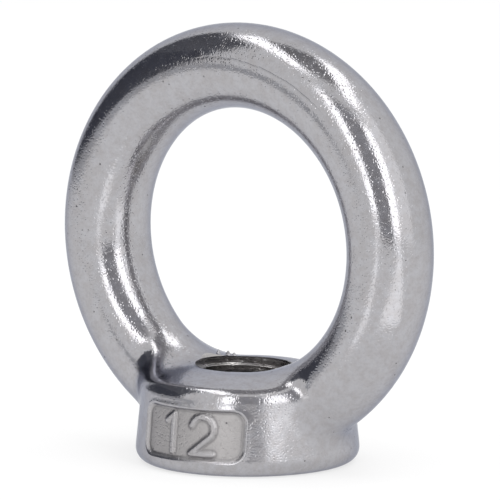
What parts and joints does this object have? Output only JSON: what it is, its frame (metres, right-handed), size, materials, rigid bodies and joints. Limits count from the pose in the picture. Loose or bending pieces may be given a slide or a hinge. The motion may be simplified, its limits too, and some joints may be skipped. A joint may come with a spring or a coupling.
{
  "type": "lifting eye nut",
  "caption": "Polished stainless lifting eye nut: a round lifting ring on a tapered, threaded boss with a flat seat.",
  "frame": {"origin": "centre of the flat seat under the boss, on the thread axis", "axes": "+Z along the thread axis towards the top of the ring; the ring stands in the XZ plane, so its hole runs along Y; the sunk marking field is on the -Y side"},
  "size_m": [0.05, 0.0258, 0.0506],
  "materials": {
    "stainless": "tumbled bright cast stainless steel"
  },
  "bodies": {
    "root": {"eye_nut": "stainless"}
  },
  "joints": []
}
